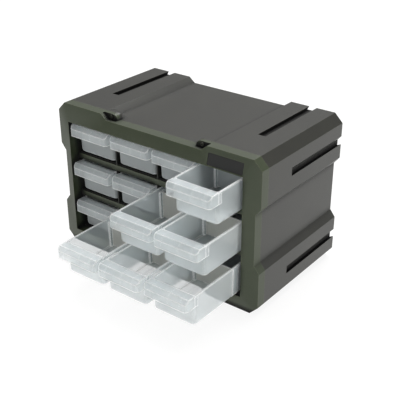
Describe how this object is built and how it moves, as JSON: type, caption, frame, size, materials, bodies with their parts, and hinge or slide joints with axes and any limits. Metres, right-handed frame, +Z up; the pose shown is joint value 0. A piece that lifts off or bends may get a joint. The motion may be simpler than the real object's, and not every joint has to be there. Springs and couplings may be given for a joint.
{
  "type": "small parts drawer cabinet",
  "caption": "Stackable plastic small parts cabinet: ribbed dark casing, sloped olive front frame and clear sliding drawers with hood handles and a lift-out divider.",
  "frame": {"origin": "centre of the footprint on the standing plane", "axes": "+X to the right and +Z up as seen from the front; the drawers pull out along -Y"},
  "size_m": [0.39, 0.3514, 0.248],
  "materials": {
    "casing": "fine spark-eroded grey plastic",
    "frame": "fine spark-eroded olive plastic",
    "nameplate": "smooth dark plastic, bare",
    "screws": "zinc-plated",
    "inner_parts": "dark moulded plastic",
    "drawers": "clear moulded polystyrene",
    "dividers": "clear moulded polystyrene"
  },
  "bodies": {
    "cabinet": {"casing": "casing", "front_frame": "frame", "nameplate": "nameplate", "frame_screws": "screws", "bottom_shelf": "inner_parts", "lower_shelf": "inner_parts", "upper_shelf": "inner_parts", "column_post_left": "inner_parts", "column_post_middle": "inner_parts", "column_post_right": "inner_parts"},
    "drawer_r1c1_body": {"drawer_r1c1": "drawers", "divider_r1c1": "dividers"},
    "drawer_r1c2_body": {"drawer_r1c2": "drawers", "divider_r1c2": "dividers"},
    "drawer_r1c3_body": {"drawer_r1c3": "drawers", "divider_r1c3": "dividers"},
    "drawer_r1c4_body": {"drawer_r1c4": "drawers", "divider_r1c4": "dividers"},
    "drawer_r2c1_body": {"drawer_r2c1": "drawers", "divider_r2c1": "dividers"},
    "drawer_r2c2_body": {"drawer_r2c2": "drawers", "divider_r2c2": "dividers"},
    "drawer_r2c3_body": {"drawer_r2c3": "drawers", "divider_r2c3": "dividers"},
    "drawer_r2c4_body": {"drawer_r2c4": "drawers", "divider_r2c4": "dividers"},
    "drawer_r3c1_body": {"drawer_r3c1": "drawers", "divider_r3c1": "dividers"},
    "drawer_r3c2_body": {"drawer_r3c2": "drawers", "divider_r3c2": "dividers"},
    "drawer_r3c3_body": {"drawer_r3c3": "drawers", "divider_r3c3": "dividers"},
    "drawer_r3c4_body": {"drawer_r3c4": "drawers", "divider_r3c4": "dividers"}
  },
  "joints": [
    {"name": "slide_r1c1", "type": "slide", "parent": "cabinet", "child": "drawer_r1c1_body", "axis": [0, -1, 0], "range_m": [0, 0.1685]},
    {"name": "slide_r1c2", "type": "slide", "parent": "cabinet", "child": "drawer_r1c2_body", "axis": [0, -1, 0], "range_m": [0, 0.1685]},
    {"name": "slide_r1c3", "type": "slide", "parent": "cabinet", "child": "drawer_r1c3_body", "axis": [0, -1, 0], "range_m": [0, 0.1685]},
    {"name": "slide_r1c4", "type": "slide", "parent": "cabinet", "child": "drawer_r1c4_body", "axis": [0, -1, 0], "range_m": [-0.068, 0.1005]},
    {"name": "slide_r2c1", "type": "slide", "parent": "cabinet", "child": "drawer_r2c1_body", "axis": [0, -1, 0], "range_m": [0, 0.1685]},
    {"name": "slide_r2c2", "type": "slide", "parent": "cabinet", "child": "drawer_r2c2_body", "axis": [0, -1, 0], "range_m": [0, 0.1685]},
    {"name": "slide_r2c3", "type": "slide", "parent": "cabinet", "child": "drawer_r2c3_body", "axis": [0, -1, 0], "range_m": [-0.094, 0.0745]},
    {"name": "slide_r2c4", "type": "slide", "parent": "cabinet", "child": "drawer_r2c4_body", "axis": [0, -1, 0], "range_m": [-0.096, 0.0725]},
    {"name": "slide_r3c1", "type": "slide", "parent": "cabinet", "child": "drawer_r3c1_body", "axis": [0, -1, 0], "range_m": [0, 0.1685]},
    {"name": "slide_r3c2", "type": "slide", "parent": "cabinet", "child": "drawer_r3c2_body", "axis": [0, -1, 0], "range_m": [-0.1225, 0.046]},
    {"name": "slide_r3c3", "type": "slide", "parent": "cabinet", "child": "drawer_r3c3_body", "axis": [0, -1, 0], "range_m": [-0.123, 0.0455]},
    {"name": "slide_r3c4", "type": "slide", "parent": "cabinet", "child": "drawer_r3c4_body", "axis": [0, -1, 0], "range_m": [-0.12, 0.0485]}
  ]
}
